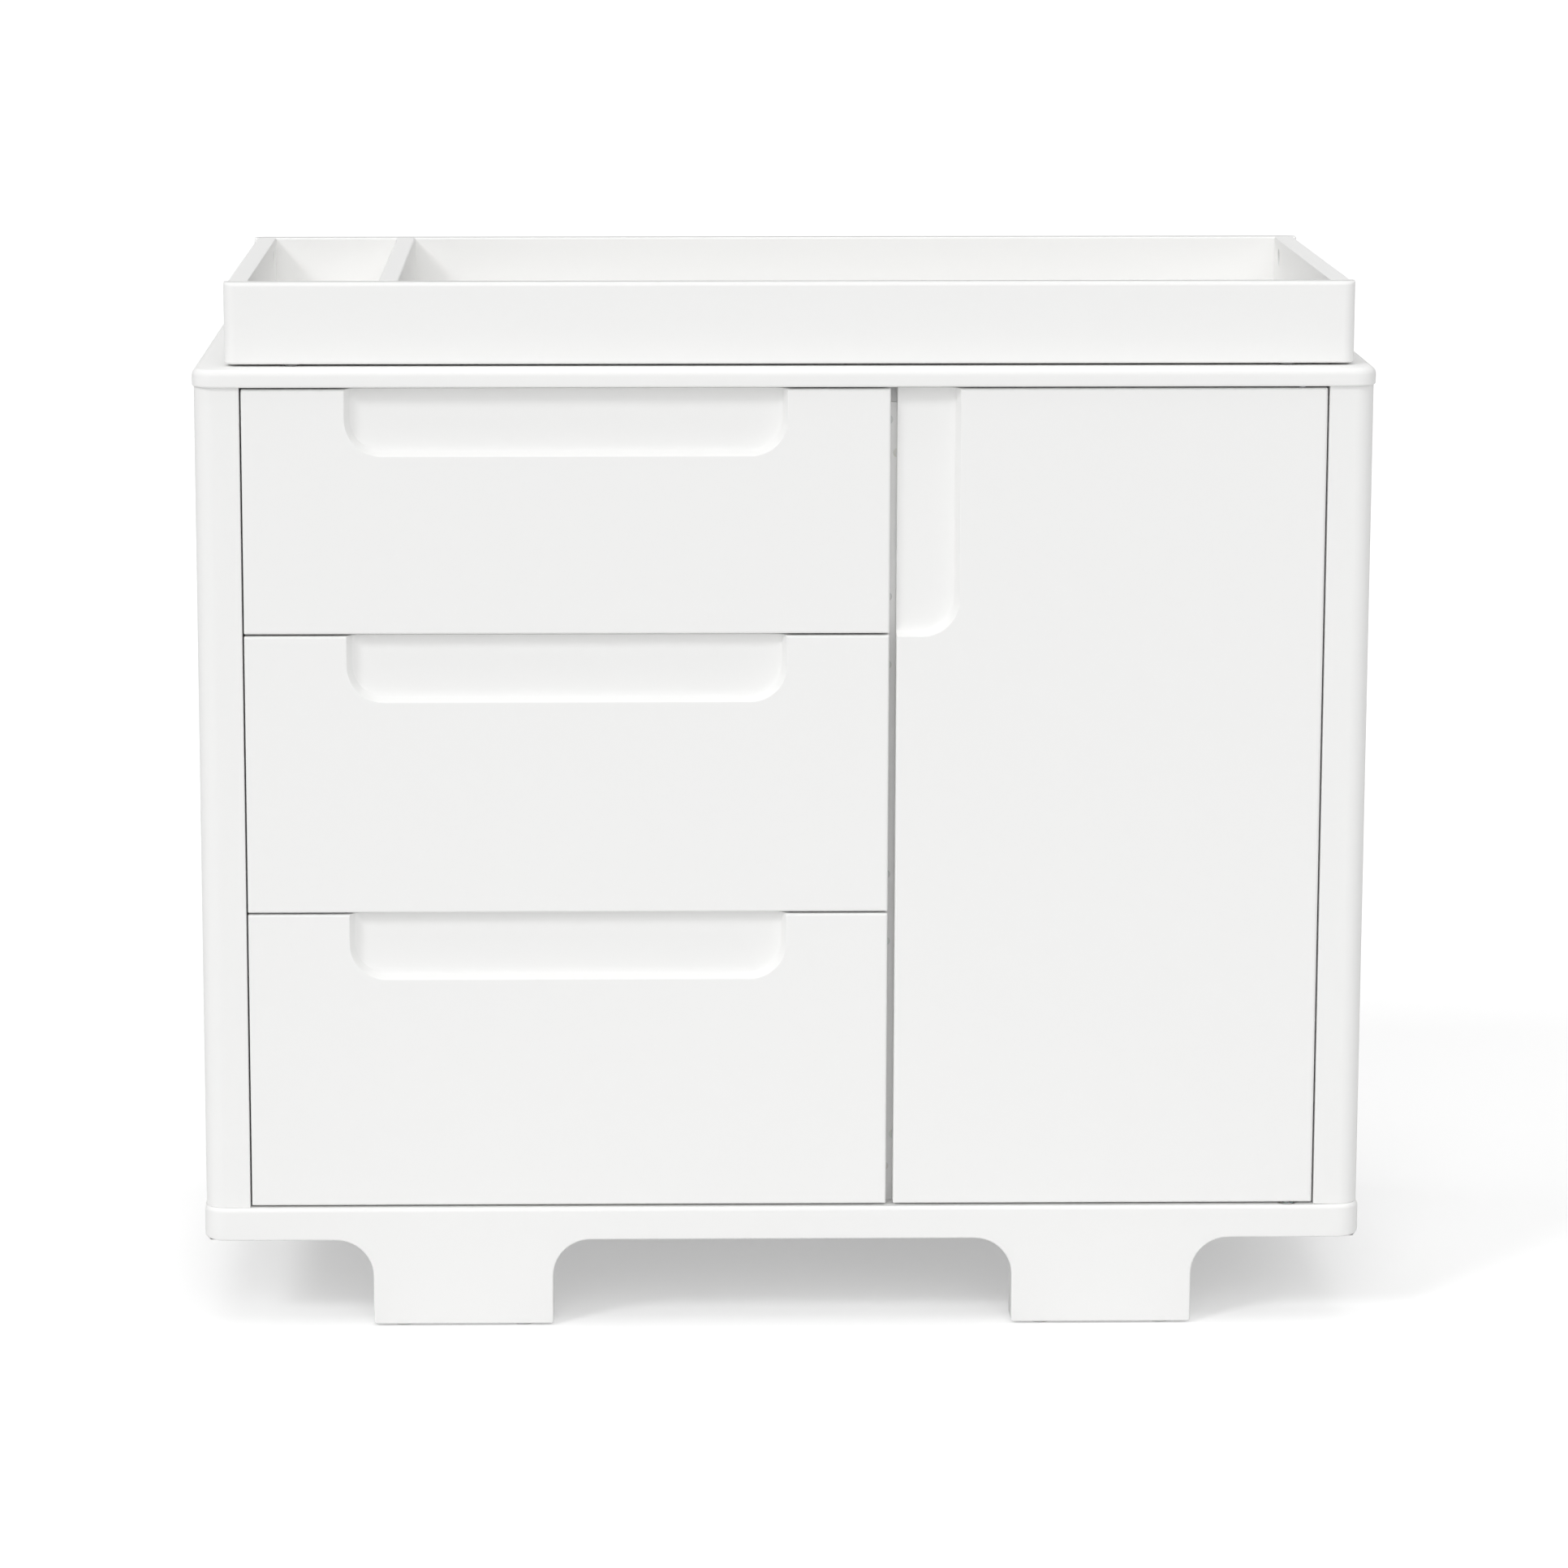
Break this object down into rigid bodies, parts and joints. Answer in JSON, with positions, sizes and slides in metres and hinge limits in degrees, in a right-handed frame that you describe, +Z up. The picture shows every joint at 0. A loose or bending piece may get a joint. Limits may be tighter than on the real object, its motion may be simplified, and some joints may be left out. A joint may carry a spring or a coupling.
{
  "type": "changing table",
  "caption": "White lacquered nursery dresser with drawers, a side door and a walled changing tray that lifts off its top.",
  "frame": {"origin": "on the floor under the middle of the body", "axes": "front faces -Y, +X to the right seen from the front, +Z up"},
  "size_m": [1.054, 0.5, 0.953],
  "materials": {
    "white_lacquer": "satin white lacquer on solid board",
    "inner_board": "matt white foil-faced board",
    "back_board": "matt white painted hardboard",
    "slide_steel": "bright zinc-plated steel",
    "zinc_fastener": "zinc die-casting, dull",
    "clear_plastic": "translucent nylon",
    "pad_rubber": "soft grey rubber"
  },
  "bodies": {
    "root": {"base_front_board": "white_lacquer", "base_rear_board": "white_lacquer", "base_left_rail": "white_lacquer", "base_right_rail": "white_lacquer", "base_cross_rail": "white_lacquer", "foot_glides": "clear_plastic", "front_left_post": "white_lacquer", "front_right_post": "white_lacquer", "rear_left_post": "white_lacquer", "rear_right_post": "white_lacquer", "left_side_panel": "white_lacquer", "right_side_panel": "white_lacquer", "bottom_panel": "white_lacquer", "partition": "white_lacquer", "top_front_rail": "white_lacquer", "top_rear_rail": "white_lacquer", "left_back_panel": "back_board", "right_back_panel": "back_board", "back_screws": "zinc_fastener", "top_panel": "white_lacquer", "upper_shelf": "inner_board", "lower_shelf": "inner_board", "shelf_pins": "slide_steel", "body_cams": "zinc_fastener", "slide_body_members": "slide_steel", "slide_screws": "zinc_fastener", "pivot_bushes": "clear_plastic", "bumpers": "clear_plastic", "door_catch": "clear_plastic"},
    "door": {"door": "white_lacquer", "door_pivots": "slide_steel", "door_strike": "slide_steel"},
    "tray": {"tray_front_wall": "white_lacquer", "tray_rear_wall": "white_lacquer", "tray_left_wall": "white_lacquer", "tray_right_wall": "white_lacquer", "tray_divider": "white_lacquer", "tray_floor": "inner_board", "tray_cams": "zinc_fastener", "tray_pads": "pad_rubber"},
    "top_drawer": {"top_drawer_front": "white_lacquer", "top_drawer_sides": "inner_board", "top_drawer_back": "inner_board", "top_drawer_bottom": "inner_board", "top_slide_drawer_members": "slide_steel"},
    "top_slide_middle": {"top_slide_middle_members": "slide_steel"},
    "middle_drawer": {"middle_drawer_front": "white_lacquer", "middle_drawer_sides": "inner_board", "middle_drawer_back": "inner_board", "middle_drawer_bottom": "inner_board", "middle_slide_drawer_members": "slide_steel"},
    "middle_slide_middle": {"middle_slide_middle_members": "slide_steel"},
    "bottom_drawer": {"bottom_drawer_front": "white_lacquer", "bottom_drawer_sides": "inner_board", "bottom_drawer_back": "inner_board", "bottom_drawer_bottom": "inner_board", "bottom_slide_drawer_members": "slide_steel"},
    "bottom_slide_middle": {"bottom_slide_middle_members": "slide_steel"}
  },
  "joints": [
    {"name": "top_drawer_slide", "type": "slide", "parent": "root", "child": "top_drawer", "axis": [0, -1, 0], "range_m": [0, 0.4]},
    {"name": "top_slide_middle_travel", "type": "slide", "parent": "root", "child": "top_slide_middle", "axis": [0, -1, 0], "range_m": [0, 0.2]},
    {"name": "middle_drawer_slide", "type": "slide", "parent": "root", "child": "middle_drawer", "axis": [0, -1, 0], "range_m": [0, 0.4]},
    {"name": "middle_slide_middle_travel", "type": "slide", "parent": "root", "child": "middle_slide_middle", "axis": [0, -1, 0], "range_m": [0, 0.2]},
    {"name": "bottom_drawer_slide", "type": "slide", "parent": "root", "child": "bottom_drawer", "axis": [0, -1, 0], "range_m": [0, 0.4]},
    {"name": "bottom_slide_middle_travel", "type": "slide", "parent": "root", "child": "bottom_slide_middle", "axis": [0, -1, 0], "range_m": [0, 0.2]},
    {"name": "door_hinge", "type": "hinge", "parent": "root", "child": "door", "pos_m": [0.461, -0.237, 0.111], "axis": [0, 0, 1], "range_deg": [0, 105]},
    {"name": "tray_lift", "type": "slide", "parent": "root", "child": "tray", "axis": [0, 0, 1], "range_m": [0, 0.12]}
  ],
  "couplings": [
    {"joint": "top_slide_middle_travel", "follows": "top_drawer_slide", "ratio": 0.5},
    {"joint": "middle_slide_middle_travel", "follows": "middle_drawer_slide", "ratio": 0.5},
    {"joint": "bottom_slide_middle_travel", "follows": "bottom_drawer_slide", "ratio": 0.5}
  ]
}
